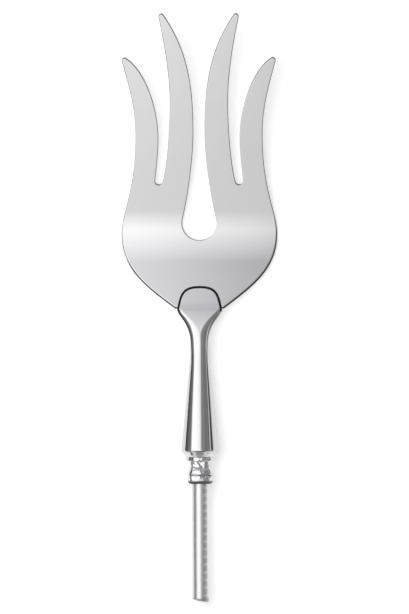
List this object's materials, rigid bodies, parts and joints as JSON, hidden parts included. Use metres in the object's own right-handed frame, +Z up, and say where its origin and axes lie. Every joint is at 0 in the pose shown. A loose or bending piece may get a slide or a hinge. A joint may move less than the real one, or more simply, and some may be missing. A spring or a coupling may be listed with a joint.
{
  "type": "cake fork insert",
  "caption": "Wide cake serving fork with flared, curved tines, set in a polished conical bolster with a bare round tang, ready for a handle to be fitted.",
  "frame": {"origin": "on the floor under the middle of the fork's box, with the fork lying on the belly of its blade and the rim of its bolster", "axes": "+Y towards the tips of the tines, +Z up, so that the hollow side of the blade faces up, +X across the fork"},
  "size_m": [0.0556, 0.2094, 0.0214],
  "materials": {
    "polished_sheet": "satin polished sheet steel with fine lengthwise grain",
    "bright_plate": "mirror bright",
    "drawn_rod": "dull drawn rod with faint rolled marks"
  },
  "bodies": {
    "root": {"fork_blade": "polished_sheet", "bolster": "bright_plate", "seat_ring": "bright_plate", "tang_bush": "bright_plate", "tang_rod": "drawn_rod"}
  },
  "joints": []
}
